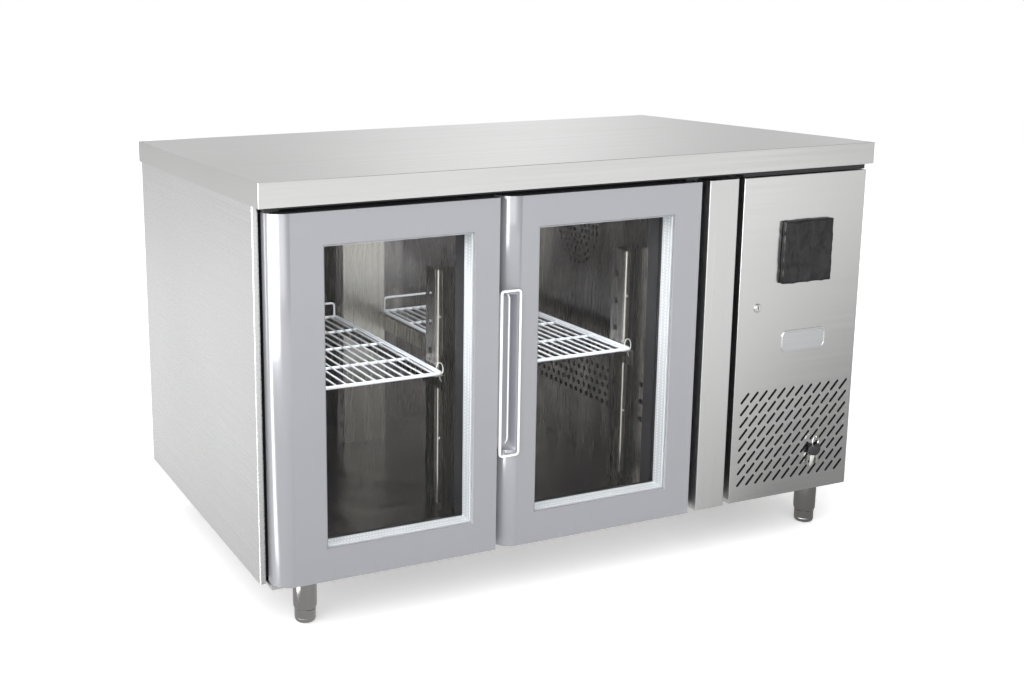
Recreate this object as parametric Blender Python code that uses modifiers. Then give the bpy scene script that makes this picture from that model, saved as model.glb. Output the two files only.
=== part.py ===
"""Undercounter refrigerator with two glass doors and a machine compartment on the right.

Metres, +Z up. The origin is on the floor at the middle of the worktop's outline.
X runs from left to right seen from the front, and Y from the front to the back.
"""
import math

import bmesh
import bpy
from mathutils import Matrix, Vector

MM = 0.001
GAP = 0.3                 # between pieces that touch, in millimetres

# Driving dimensions, in millimetres. x is measured from the left edge of the worktop,
# y from its front edge and z from the floor.
WIDTH, DEPTH, HEIGHT = 1360.0, 800.0, 850.0
TOP_HEIGHT = 45.0         # of the worktop's folded edge
SHEET = 1.5               # stainless sheet
BODY_BOTTOM = 100.0
BODY_TOP = HEIGHT - TOP_HEIGHT - GAP
BODY_INSET = 3.0          # sides behind the worktop's edge
BODY_BACK = 788.0
FACE = 66.6               # front face of the black breaker frame
BREAKER = 3.0
WALL_FRONT = FACE + BREAKER + GAP

INNER_LEFT, INNER_RIGHT = 42.0, 905.0
INNER_BOTTOM, INNER_TOP = 140.0, 757.0
INNER_BACK = 740.0
PARTITION = (990.0, 1034.0)

DOORS = {                 # x of each door, of its window and of its hinge
    "left": {"span": (21.0, 476.0), "window": (124.0, 423.0), "hinge": 33.0},
    "right": {"span": (485.0, 931.0), "window": (563.0, 869.0), "hinge": 919.0},
}
DOOR_FRONT, DOOR_DEPTH = 8.0, 42.0
DOOR_BOTTOM, DOOR_TOP = BODY_BOTTOM, 792.0
NOSE = 38.0               # radius of the rounded edge
WINDOW_Z = (165.0, 730.0)
PIVOT_Y = 36.0
PULL_Z = (288.0, 617.0)
INNER_FRAME_BACK = 58.0   # where the inner frame ends and the gasket begins
PIN_RADIUS, PIN_CLEARANCE = 4.0, 0.3

PANE = 4.0
REBATE = 6.0              # how far the glass reaches behind the frame
SPACER_WIDTH = 8.0
PANE_FRONT = DOOR_FRONT + 2.7

PILLAR = (954.0, 1025.0)
PILLAR_FRONT = 12.0
PANEL = (1041.0, 1356.0)
PANEL_FRONT, PANEL_DEPTH = 14.0, 20.0
VENT_X, VENT_Z = (1070.0, 1332.0), (146.0, 328.0)
VENT_COLUMNS, VENT_ROWS = 12, 8

SHELF_WIDTH, SHELF_DEPTH = 325.0, 530.0
SHELF_FRONT, SHELF_Z = 100.0, 437.0
SHELF_LEFT, SHELF_PITCH = 83.0, 436.0
SIDE_CLEARANCE = 4.0      # from a shelf's edge to the face of the rack uprights
UPRIGHT_Y = {"front": 145.0, "rear": 600.0}

LEG_X = {"left": 100.0, "right": 1300.0}
LEG_Y = {"front": 70.0, "rear": 730.0}
LEG_RADIUS, LEG_BORE, LEG_END = 23.0, 18.5, 28.0

COLOURS = {
    "stainless": ((0.62, 0.62, 0.61), 0.35, 1.0),
    "bright_stainless": ((0.70, 0.70, 0.69), 0.22, 1.0),
    "inner_stainless": ((0.36, 0.36, 0.36), 0.25, 1.0),
    "door_frame": ((0.46, 0.46, 0.49), 0.40, 0.2),
    "black_plastic": ((0.02, 0.02, 0.02), 0.45, 0.0),
    "rubber": ((0.03, 0.03, 0.03), 0.70, 0.0),
    "glass": ((0.55, 0.68, 0.64), 0.03, 0.0),
    "spacer": ((0.55, 0.58, 0.60), 0.35, 0.6),
    "white_wire": ((0.80, 0.83, 0.85), 0.35, 0.0),
    "pull_rim": ((0.85, 0.85, 0.86), 0.30, 0.1),
    "fins": ((0.55, 0.56, 0.57), 0.40, 1.0),
    "shell_black": ((0.03, 0.03, 0.035), 0.35, 0.3),
    "fan": ((0.10, 0.10, 0.11), 0.50, 0.0),
    "key_metal": ((0.55, 0.54, 0.50), 0.30, 1.0),
}


def clear_scene():
    for obj in list(bpy.data.objects):
        bpy.data.objects.remove(obj, do_unlink=True)


clear_scene()
MODEL = bpy.data.collections.new("undercounter_refrigerator")
CUTTERS = bpy.data.collections.new("cutters")
for group in (MODEL, CUTTERS):
    bpy.context.scene.collection.children.link(group)


def make_material(name):
    colour, roughness, metallic = COLOURS[name]
    material = bpy.data.materials.new(name)
    material.use_nodes = True
    shader = material.node_tree.nodes["Principled BSDF"]
    shader.inputs["Base Color"].default_value = (*colour, 1.0)
    shader.inputs["Roughness"].default_value = roughness
    shader.inputs["Metallic"].default_value = metallic
    return material


MATERIALS = {name: make_material(name) for name in COLOURS}


def place(x, y, z):
    """A point in the part's own frame, in metres, from millimetres left, front and floor."""
    return Vector((x - WIDTH / 2, y - DEPTH / 2, z)) * MM


def finish_object(name, mesh, material, location, parent=None):
    """Puts a mesh in the model, or in the cutters when it has no material."""
    obj = bpy.data.objects.new(name, mesh)
    obj.location = location
    if material:
        MODEL.objects.link(obj)
        mesh.materials.append(MATERIALS[material])
    else:
        CUTTERS.objects.link(obj)
        obj.hide_render = True
        obj.display_type = "WIRE"
    if parent:
        obj.parent = parent
        obj.location = Vector(location) - parent.location
    return obj


def box(name, x, y, z, material=None, parent=None, nose=0.0):
    """A block between pairs of coordinates. nose rounds its front left upright edge."""
    low, high = place(x[0], y[0], z[0]), place(x[1], y[1], z[1])
    bm = bmesh.new()
    bmesh.ops.create_cube(bm, size=1.0)
    bmesh.ops.scale(bm, vec=high - low, verts=bm.verts)
    if nose:
        edge = [e for e in bm.edges if all(v.co.x < 0 and v.co.y < 0 for v in e.verts)]
        bmesh.ops.bevel(bm, geom=edge, offset=nose * MM, segments=8, profile=0.5, affect="EDGES")
    mesh = bpy.data.meshes.new(name)
    bm.to_mesh(mesh)
    bm.free()
    return finish_object(name, mesh, material, (low + high) / 2, parent)


def cylinder(name, radius, length, centre, axis="Z", material=None, parent=None, sides=24):
    bm = bmesh.new()
    bmesh.ops.create_cone(bm, cap_ends=True, segments=sides, radius1=radius * MM,
                          radius2=radius * MM, depth=length * MM)
    turn = {"X": Matrix.Rotation(math.pi / 2, 3, "Y"), "Y": Matrix.Rotation(math.pi / 2, 3, "X"),
            "Z": Matrix.Identity(3)}[axis]
    bmesh.ops.rotate(bm, verts=bm.verts, cent=(0, 0, 0), matrix=turn)
    mesh = bpy.data.meshes.new(name)
    bm.to_mesh(mesh)
    bm.free()
    mesh.shade_smooth()
    mesh.set_sharp_from_angle(angle=math.radians(40))
    return finish_object(name, mesh, material, place(*centre), parent)


def prism(name, outline, span, material, parent=None):
    """An upright bar: an (x, y) outline in millimetres, filled and extruded over a z span."""
    curve = bpy.data.curves.new(name, "CURVE")
    curve.dimensions = "2D"
    curve.fill_mode = "BOTH"
    curve.extrude = (span[1] - span[0]) / 2 * MM
    spline = curve.splines.new("POLY")
    spline.points.add(len(outline) - 1)
    for point, (x, y) in zip(spline.points, outline):
        point.co = (*place(x, y, 0).xy, 0.0, 1.0)
    spline.use_cyclic_u = True
    shape = bpy.data.objects.new(name, curve)
    MODEL.objects.link(shape)
    bpy.context.view_layer.update()
    mesh = bpy.data.meshes.new_from_object(shape.evaluated_get(bpy.context.evaluated_depsgraph_get()))
    bpy.data.objects.remove(shape, do_unlink=True)
    bm = bmesh.new()
    bm.from_mesh(mesh)
    bmesh.ops.remove_doubles(bm, verts=bm.verts, dist=0.00001)
    bmesh.ops.recalc_face_normals(bm, faces=bm.faces)
    bm.to_mesh(mesh)
    bm.free()
    mesh.materials.clear()
    return finish_object(name, mesh, material, Vector((0, 0, (span[0] + span[1]) / 2 * MM)), parent)


def turned(name, profile, centre, material, parent=None, steps=24):
    """A turned piece: (radius, height) points from the top of the axis down its outer side."""
    bm = bmesh.new()
    points = [bm.verts.new((radius * MM, 0, height * MM)) for radius, height in profile]
    for first, second in zip(points, points[1:]):
        bm.edges.new((first, second))
    mesh = bpy.data.meshes.new(name)
    bm.to_mesh(mesh)
    bm.free()
    obj = finish_object(name, mesh, material, place(*centre), parent)
    screw = obj.modifiers.new("turn", "SCREW")
    screw.steps = screw.render_steps = steps
    screw.use_merge_vertices = True
    screw.merge_threshold = 0.00001
    return obj


def combine(obj, other, operation="DIFFERENCE"):
    modifier = obj.modifiers.new(operation.lower(), "BOOLEAN")
    modifier.operation = operation
    modifier.solver = "EXACT"
    modifier.object = other
    return obj


def joined(name, cutters):
    """Makes one cutter of several that don't touch each other."""
    bm = bmesh.new()
    for piece in cutters:
        part = piece.data.copy()
        part.transform(Matrix.Translation(piece.location))
        bm.from_mesh(part)
        bpy.data.meshes.remove(part)
        bpy.data.objects.remove(piece, do_unlink=True)
    mesh = bpy.data.meshes.new(name)
    bm.to_mesh(mesh)
    bm.free()
    return finish_object(name, mesh, None, (0, 0, 0))


def ring(name, outer, inner, y, material, parent=None):
    """A flat frame. outer and inner are (x, z) pairs of spans."""
    frame = box(name, outer[0], y, outer[1], material, parent)
    return combine(frame, box(name + "_hole", inner[0], (y[0] - 5, y[1] + 5), inner[1]))


def pivot(name, x, y, z):
    """An empty on a joint's axis."""
    empty = bpy.data.objects.new(name, None)
    empty.location = place(x, y, z)
    MODEL.objects.link(empty)
    return empty


def grown(span, by):
    return span[0] - by, span[1] + by


# ---------------------------------------------------------------- cabinet

def make_worktop():
    top = box("worktop", (0, WIDTH), (0, DEPTH), (HEIGHT - TOP_HEIGHT, HEIGHT), "stainless")
    combine(top, box("worktop_hollow", (SHEET, WIDTH - SHEET), (SHEET, DEPTH - SHEET),
                     (HEIGHT - TOP_HEIGHT - 10, HEIGHT - SHEET)))


def make_side_panels():
    """Each side is a sheet with its front edge folded inwards and back."""
    front, fold, lip, back = 45.0, 12.0, 10.0, BODY_BACK - GAP
    section = [(0, front), (fold, front), (fold, front + lip), (fold - SHEET, front + lip),
               (fold - SHEET, front + SHEET), (SHEET, front + SHEET), (SHEET, back), (0, back)]
    span = (BODY_BOTTOM, BODY_TOP)
    prism("left_side_panel", [(BODY_INSET + x, y) for x, y in section], span, "stainless")
    prism("right_side_panel", [(WIDTH - BODY_INSET - x, y) for x, y in section], span, "stainless")


def make_insulated_body():
    left, right = BODY_INSET + SHEET + GAP, WIDTH - BODY_INSET - SHEET - GAP
    depth = (WALL_FRONT, BODY_BACK - GAP)
    between = (INNER_BOTTOM + GAP, INNER_TOP - GAP)
    box("insulated_base", (left, right), depth, (BODY_BOTTOM, INNER_BOTTOM), "inner_stainless")
    box("insulated_ceiling", (left, PARTITION[1]), depth, (INNER_TOP, BODY_TOP), "inner_stainless")
    box("left_wall", (left, INNER_LEFT), depth, between, "inner_stainless")
    box("partition_wall", PARTITION, depth, between, "inner_stainless")
    box("rear_wall", (INNER_LEFT + GAP, PARTITION[0] - GAP), (INNER_BACK, BODY_BACK - GAP), between,
        "inner_stainless")


def make_back_panel():
    outer = BODY_BACK + SHEET
    back = box("back_panel", (BODY_INSET, WIDTH - BODY_INSET), (BODY_BACK, outer),
               (BODY_BOTTOM, BODY_TOP), "stainless")
    louvre_x, first, pitch, height, count = (1090.0, 1300.0), 420.0, 40.0, 10.0, 7
    slots = []
    for row in range(count):
        z = first + pitch * row
        slots.append(box("louvre", louvre_x, grown((BODY_BACK, outer), 5), (z, z + height)))
    combine(back, joined("back_louvres", slots))

    x, z = 1240.0, 210.0
    bore, neck, collar = 5.0, 10.0, 14.0
    collar_length = 7.0
    combine(back, cylinder("gland_hole", neck + 0.5, 20, (x, BODY_BACK, z), "Y"))
    gland = cylinder("cable_gland", neck, 18, (x, BODY_BACK - 2, z), "Y", "black_plastic", sides=12)
    seat = (x, outer + GAP + collar_length / 2, z)
    combine(gland, cylinder("gland_collar", collar, collar_length, seat, "Y", sides=12), "UNION")
    combine(gland, cylinder("gland_bore", bore, 60, (x, BODY_BACK, z), "Y", sides=12))


def make_breaker_frame():
    """The black frame behind the doors, with its strip under the worktop."""
    depth = (FACE, FACE + BREAKER)
    across = (BODY_INSET + 13, PANEL[0] + 2)
    strip_front, strip_bottom = 20.0, 799.0
    strip_end = (PANEL[0], WIDTH - BODY_INSET - 1)
    frame = box("breaker_frame", across, depth, (BODY_BOTTOM + 4, BODY_TOP), "black_plastic")
    strip = box("breaker_strip", across, (strip_front, depth[1]), (strip_bottom, BODY_TOP))
    combine(frame, strip, "UNION")
    end_z = (DOOR_TOP + 1, BODY_TOP)
    end = box("breaker_strip_end", strip_end, (strip_front, strip_front + 24), end_z)
    combine(frame, end, "UNION")
    lip, lip_back = 4.0, 100.0
    height = (146.0, 752.0)
    openings = {"left": (48.0, 432.0), "right": (511.0, 875.0)}
    for side, x in openings.items():
        lining = box(f"{side}_lining", grown(x, lip), (FACE + 1, lip_back), grown(height, lip))
        combine(frame, lining, "UNION")
    for side, x in openings.items():
        combine(frame, box(f"{side}_door_opening", x, (FACE - 5, lip_back + 5), height))


def make_mullion_and_pillar():
    box("centre_mullion", (440, 503), (WALL_FRONT, 110), (INNER_BOTTOM + GAP, INNER_TOP - GAP),
        "inner_stainless")
    a, b = PILLAR
    f, back = PILLAR_FRONT, FACE - GAP
    section = [(a, f), (b, f), (b, back), (b - SHEET, back), (b - SHEET, f + SHEET),
               (a + SHEET, f + SHEET), (a + SHEET, back), (a, back)]
    prism("pillar_cover", section, (BODY_BOTTOM, DOOR_TOP), "bright_stainless")


def make_uprights():
    """Rack uprights with square holes: channels on the outer walls, a wide pair in the middle."""
    span = (INNER_BOTTOM + GAP, 640.0)
    hole, pitch, first = 12.0, 58.0, 175.0
    faces = {
        "left": (INNER_LEFT + GAP, SHELF_LEFT - SIDE_CLEARANCE),
        "centre": (SHELF_LEFT + SHELF_WIDTH + SIDE_CLEARANCE, SHELF_LEFT + SHELF_PITCH - SIDE_CLEARANCE),
        "right": (SHELF_LEFT + SHELF_PITCH + SHELF_WIDTH + SIDE_CLEARANCE, INNER_RIGHT - GAP),
    }
    for side, (a, b) in faces.items():
        for place_name, y in UPRIGHT_Y.items():
            e = y + 40
            if side == "centre":    # a U, open towards the back
                section = [(a, y), (b, y), (b, e), (b - SHEET, e), (b - SHEET, y + SHEET),
                           (a + SHEET, y + SHEET), (a + SHEET, e), (a, e)]
            elif side == "left":    # a channel that opens towards the wall
                section = [(a, y), (b, y), (b, e), (a, e), (a, e - SHEET), (b - SHEET, e - SHEET),
                           (b - SHEET, y + SHEET), (a, y + SHEET)]
            else:
                section = [(a, y), (b, y), (b, y + SHEET), (a + SHEET, y + SHEET),
                           (a + SHEET, e - SHEET), (b, e - SHEET), (b, e), (a, e)]
            upright = prism(f"upright_{side}_{place_name}", section, span, "inner_stainless")
            middle = y + 22
            depth = (middle - hole / 2, middle + hole / 2)
            near = b if side == "left" else a
            far = a if side == "right" else b
            slots = [box("slot", (near - 5, far + 5),
                         depth, (first + pitch * i, first + pitch * i + hole)) for i in range(8)]
            combine(upright, joined(f"holes_{side}_{place_name}", slots))


def make_runners():
    """Angles that carry the shelves, one on each side of each shelf."""
    top, drop, ledge = SHELF_Z - GAP, 34.0, 22.0
    for side, x in (("left", SHELF_LEFT), ("right", SHELF_LEFT + SHELF_PITCH)):
        outer = x - SIDE_CLEARANCE + GAP
        inner = x + SHELF_WIDTH + SIDE_CLEARANCE - GAP
        for where, web, flange in (("left", (outer, outer + SHEET), (outer, outer + ledge)),
                                   ("right", (inner - SHEET, inner), (inner - ledge, inner))):
            depth = (SHELF_FRONT, SHELF_FRONT + SHELF_DEPTH)
            runner = box(f"{side}_shelf_{where}_runner", web, depth, (top - drop, top), "inner_stainless")
            combine(runner, box(f"{side}_{where}_ledge", flange, depth, (top - SHEET, top)), "UNION")


def make_hinges():
    """Plates that carry the doors on pins: the upper ones under the worktop, the lower ones
    under the insulated base."""
    reach, front = 14.0, PIVOT_Y - 10
    upper_z = (793.5, 798.7)
    lower_z = (94.5, BODY_BOTTOM - GAP)
    pin_length, pin_in = 16.0, 5.0
    for side, door in DOORS.items():
        x = door["hinge"]
        plate = (x - reach, x + reach)
        upper = box(f"{side}_door_upper_hinge", plate, (front, FACE - GAP), upper_z, "shell_black")
        pin = (x, PIVOT_Y, DOOR_TOP - pin_in)
        combine(upper, cylinder(f"{side}_upper_pin", PIN_RADIUS, pin_length, pin, sides=16), "UNION")
        lower = box(f"{side}_door_lower_hinge", plate, (front, 130), lower_z, "bright_stainless")
        pin = (x, PIVOT_Y, DOOR_BOTTOM + pin_in)
        combine(lower, cylinder(f"{side}_lower_pin", PIN_RADIUS, pin_length, pin, sides=16), "UNION")


def make_legs():
    """Tubes under the base, each with a turned foot that slides in it."""
    leg_top, stem_top, stem = BODY_BOTTOM - GAP, 85.0, 18.0
    sole = [(20.5, LEG_END - GAP), (20.5, 10), (18.5, 4), (14, 0), (0, 0)]
    profile = [(0, stem_top), (stem, stem_top), (stem, LEG_END - GAP), *sole]
    for end, y in LEG_Y.items():
        for side, x in LEG_X.items():
            name = f"{end}_{side}"
            middle = (x, y, (leg_top + LEG_END) / 2)
            tube = cylinder(f"leg_{name}", LEG_RADIUS, leg_top - LEG_END, middle, "Z", "bright_stainless")
            combine(tube, cylinder(f"leg_bore_{name}", LEG_BORE, 200, middle))
            slide = pivot(f"foot_{name}_slide", x, y, 0)
            turned(f"foot_{name}", profile, (x, y, 0), "bright_stainless", slide)


# ---------------------------------------------------------------- refrigeration

def finned_block(name, x, y, z, along, material="fins"):
    """A heat exchanger: a block with slots between its fins."""
    block = box(name, x, y, z, material)
    count, slot = 12, 6.0
    low, high = (x if along == "x" else y)
    step = (high - low) / (count + 1)
    slots = []
    for i in range(1, count + 1):
        middle = low + step * i
        span = (middle - slot / 2, middle + slot / 2)
        if along == "x":
            slots.append(box("fin_gap", span, (y[0] - 5, y[1] - 12), (z[0] + 12, z[1] - 12)))
        else:
            slots.append(box("fin_gap", (x[0] - 5, x[1] - 12), span, (z[0] + 12, z[1] - 12)))
    return combine(block, joined(name + "_gaps", slots))


def fan(name, centre, radius, axis, material, parent):
    """A hub with four pitched blades in one piece."""
    hub = cylinder(name, radius * 0.28, 16, centre, axis, material, parent, sides=16)
    for i in range(2):
        bm = bmesh.new()
        bmesh.ops.create_cube(bm, size=1.0)
        bmesh.ops.scale(bm, vec=Vector((2 * radius, radius * 0.42, 2.0)) * MM, verts=bm.verts)
        blade_pitch = Matrix.Rotation(math.radians(18), 3, "X")
        bmesh.ops.rotate(bm, verts=bm.verts, cent=(0, 0, 0), matrix=blade_pitch)
        blade_turn = Matrix.Rotation(i * math.pi / 2, 3, "Z")
        bmesh.ops.rotate(bm, verts=bm.verts, cent=(0, 0, 0), matrix=blade_turn)
        turn = Matrix.Rotation(math.pi / 2, 3, "Y" if axis == "X" else "X")
        bmesh.ops.rotate(bm, verts=bm.verts, cent=(0, 0, 0), matrix=turn)
        mesh = bpy.data.meshes.new(f"{name}_blades_{i}")
        bm.to_mesh(mesh)
        bm.free()
        combine(hub, finish_object(mesh.name, mesh, None, place(*centre)), "UNION")


def make_cooling():
    between = (INNER_BOTTOM + GAP, INNER_TOP - GAP)
    run = (WALL_FRONT + 2, INNER_BACK - GAP)
    cover = box("evaporator_cover", (INNER_RIGHT, INNER_RIGHT + SHEET), run,
                between, "inner_stainless")
    across = (INNER_RIGHT - 5, INNER_RIGHT + 5)
    hole, columns, rows = 24.0, 8, 3
    openings = []
    for column in range(columns):
        for row in range(rows):
            y, z = 180 + 52 * column, 230 + 45 * row
            openings.append(box("opening", across, (y, y + hole), (z, z + hole)))
    combine(cover, joined("cover_holes", openings))
    fan_place, fan_radius = (930.0, 400.0, 640.0), 72.0
    fan_hole = (INNER_RIGHT, *fan_place[1:])
    combine(cover, cylinder("fan_opening", fan_radius + 8, 20, fan_hole, "X", sides=20))
    finned_block("evaporator_coil", (925, 982), (150, 660), (INNER_BOTTOM + 6, 520), "y")
    fan("evaporator_fan", fan_place, fan_radius, "X", "fan", pivot("evaporator_fan_axis", *fan_place))

    machine_x = 1195.0
    fan_place, fan_radius = (machine_x, 185.0, 290.0), 105.0
    finned_block("condenser", (machine_x - 130, machine_x + 130), (100, 155), (between[0], 440), "x")
    fan("condenser_fan", fan_place, fan_radius, "Y", "fan", pivot("condenser_fan_axis", *fan_place))
    shell = [(0, 190), (35, 186), (66, 168), (80, 135), (80, 60),
             (72, 32), (50, 12), (62, 8), (62, 0), (0, 0)]
    turned("compressor", shell, (machine_x, 520, between[0]), "shell_black")


# ---------------------------------------------------------------- doors

def make_door(side):
    """A foam-filled frame round double glazing, with an inner frame and a magnetic gasket."""
    span, window, hinge_x = (DOORS[side][key] for key in ("span", "window", "hinge"))
    hinge = pivot(f"{side}_door_hinge", hinge_x, PIVOT_Y, DOOR_BOTTOM)
    depth = (DOOR_FRONT, DOOR_FRONT + DOOR_DEPTH)
    height = (DOOR_BOTTOM, DOOR_TOP)
    frame = box(f"{side}_door_frame", span, depth, height, "door_frame", hinge, nose=NOSE)
    combine(frame, box(f"{side}_window", window, grown(depth, 5), WINDOW_Z))
    pocket, pocket_z = grown(window, REBATE), grown(WINDOW_Z, REBATE)
    combine(frame, box(f"{side}_rebate", pocket, (PANE_FRONT, depth[1] + 5), pocket_z))
    for end, z in (("top", DOOR_TOP), ("bottom", DOOR_BOTTOM)):
        combine(frame, cylinder(f"{side}_pin_hole_{end}", PIN_RADIUS + PIN_CLEARANCE, 28,
                                (hinge_x, PIVOT_Y, z), sides=16))

    glass, glass_z = grown(pocket, -GAP), grown(pocket_z, -GAP)
    y = PANE_FRONT + GAP
    inner_pane = depth[1] - GAP - PANE
    box(f"{side}_door_outer_pane", glass, (y, y + PANE), glass_z, "glass", hinge)
    box(f"{side}_door_inner_pane", glass, (inner_pane, inner_pane + PANE), glass_z, "glass", hinge)
    sight = (grown(glass, -SPACER_WIDTH), grown(glass_z, -SPACER_WIDTH))
    ring(f"{side}_door_glass_spacer", (glass, glass_z), sight, (y + PANE + GAP, inner_pane - GAP),
         "spacer", hinge)

    outer, outer_z = grown(span, -9), grown(height, -12)
    ring(f"{side}_door_inner_frame", (outer, outer_z), (grown(window, 2), grown(WINDOW_Z, 2)),
         (depth[1] + GAP, INNER_FRAME_BACK), "black_plastic", hinge)
    gasket_width = 18.0
    inside = (grown(outer, -gasket_width), grown(outer_z, -gasket_width))
    ring(f"{side}_door_gasket", (outer, outer_z), inside,
         (INNER_FRAME_BACK + GAP, FACE - GAP), "rubber", hinge)

    if side == "right":
        make_pull(side, span[0], hinge)
        pocket_depth = DOOR_FRONT + 28
        pocket_x = (span[0] - 10, span[0] + 32)
        combine(frame, box("pull_pocket", pocket_x, (-5, pocket_depth), grown(PULL_Z, -10)))
    else:
        groove = (DOOR_FRONT + 14, DOOR_FRONT + 34)
        combine(frame, box("finger_groove", (span[1] - 18, span[1] + 5), groove, PULL_Z))


def make_pull(side, left, parent):
    """A loop in front of the rounded edge, round the finger pocket, on the door's flat front."""
    seat = DOOR_FRONT - GAP
    right, end = left + 38, left - 7
    bar, thickness = 5.0, 5.5
    front = [(right, seat - thickness), (left + 8, 1.0), (end, 3.0)]
    back = [(end, 3.0 + thickness), (left + 8, 1.0 + thickness), (right, seat)]
    pull = prism(f"{side}_door_pull_rim", front + back, PULL_Z, "pull_rim", parent)
    combine(pull, box(f"{side}_pull_opening", (end + bar, right - bar), (-10, 20), grown(PULL_Z, -bar)))


# ---------------------------------------------------------------- shelves

def make_shelf(side, x):
    """A coated wire shelf: a frame, wires from front to back, and a raised bar at the back."""
    wire, pitch_count, cross_count = 4.0, 16, 3
    slide = pivot(f"{side}_shelf_slide", x, SHELF_FRONT, SHELF_Z)
    across, depth = (x, x + SHELF_WIDTH), (SHELF_FRONT, SHELF_FRONT + SHELF_DEPTH)
    low = (SHELF_Z, SHELF_Z + wire)
    shelf = box(f"{side}_shelf", across, depth, low, "white_wire", slide)
    combine(shelf, box(f"{side}_shelf_inside", grown(across, -wire), grown(depth, -wire), grown(low, 5)))
    step = SHELF_WIDTH / pitch_count
    along = []
    for i in range(1, pitch_count):
        middle = x + step * i
        wire_z = (SHELF_Z + 2.5, SHELF_Z + 6)
        along.append(box("wire", (middle - 1.5, middle + 1.5), grown(depth, -1), wire_z))
    combine(shelf, joined(f"{side}_shelf_wires", along), "UNION")
    gap = SHELF_DEPTH / (cross_count + 1)
    cross = []
    for i in range(1, cross_count + 1):
        middle = depth[0] + gap * i
        rod_z = (SHELF_Z - 0.1, SHELF_Z + 3.2)
        cross.append(box("wire", grown(across, -2), grown((middle, middle), 2), rod_z))
    combine(shelf, joined(f"{side}_shelf_cross_wires", cross), "UNION")
    back = (depth[1] - 4.5, depth[1] - 0.5)
    stop = ring(f"{side}_shelf_stop", (grown(across, -6), (SHELF_Z + 1, SHELF_Z + 40)),
                (grown(across, -10), (SHELF_Z - 5, SHELF_Z + 36)), back, None)
    combine(shelf, stop, "UNION")


# ---------------------------------------------------------------- service panel

def make_service_panel():
    hinge = pivot("service_panel_hinge", PANEL[1] - 12, PANEL_FRONT + 14, BODY_BOTTOM)
    depth = (PANEL_FRONT, PANEL_FRONT + PANEL_DEPTH)
    panel = box("service_panel", PANEL, depth, (BODY_BOTTOM, DOOR_TOP), "stainless", hinge)
    combine(panel, box("panel_hollow", grown(PANEL, -SHEET), (PANEL_FRONT + SHEET, depth[1] + 5),
                       grown((BODY_BOTTOM, DOOR_TOP), -SHEET)))
    combine(panel, slot_cutter())
    make_display(panel, hinge)
    lock_x, lock_z = 1089.0, 520.0
    combine(panel, cylinder("lock_hole", 9.5, 20, (lock_x, PANEL_FRONT, lock_z), "Y"))
    turn = pivot("service_lock_axis", lock_x, PANEL_FRONT, lock_z)
    seat = (lock_x, PANEL_FRONT + 8, lock_z)
    lock = cylinder("lock_cylinder", 9.0, 22, seat, "Y", "bright_stainless", turn)
    combine(lock, box("lock_cam", (lock_x - 4, lock_x + 4), (PANEL_FRONT + 15, PANEL_FRONT + 18),
                      (lock_z - 30, lock_z)), "UNION")
    combine(lock, box("key_slot", (lock_x - 1, lock_x + 1), (PANEL_FRONT - 6, PANEL_FRONT + 4),
                      (lock_z - 5, lock_z + 5)))


def slot_centre(column, row):
    return (VENT_X[0] + (VENT_X[1] - VENT_X[0]) * column / (VENT_COLUMNS - 1),
            VENT_Z[0] + (VENT_Z[1] - VENT_Z[0]) * row / (VENT_ROWS - 1))


def slot_cutter():
    """The air vents: rows of slanted slots."""
    slant_x, slant_z, half = 8.2, 8.7, 2.9
    length = math.hypot(slant_x, slant_z)
    side = Vector((slant_z, 0, -slant_x)) * (half / length)
    lean = Vector((slant_x, 0, slant_z)) * ((length + half) / length)
    bm = bmesh.new()
    for column in range(VENT_COLUMNS):
        for row in range(VENT_ROWS):
            x, z = slot_centre(column, row)
            made = bmesh.ops.create_cube(bm, size=2.0)["verts"]
            for v in made:
                offset = lean * v.co.z + side * v.co.x + Vector((0, 5 * v.co.y, 0))
                v.co = place(x, PANEL_FRONT, z) + offset * MM
    mesh = bpy.data.meshes.new("vent_slots")
    bm.to_mesh(mesh)
    bm.free()
    return finish_object("vent_slots", mesh, None, (0, 0, 0))


def make_display(panel, parent):
    x, z = (1142.0, 1268.0), (566.0, 697.0)
    hole, hole_z = grown(x, -12), grown(z, -12)
    combine(panel, box("display_hole", hole, grown((PANEL_FRONT, PANEL_FRONT), 10), hole_z))
    housing = box("display_housing", x, (1.5, PANEL_FRONT - GAP), z, "black_plastic", parent)
    combine(housing, box("display_body", grown(hole, -GAP), (8, 48), grown(hole_z, -GAP)), "UNION")


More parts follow.
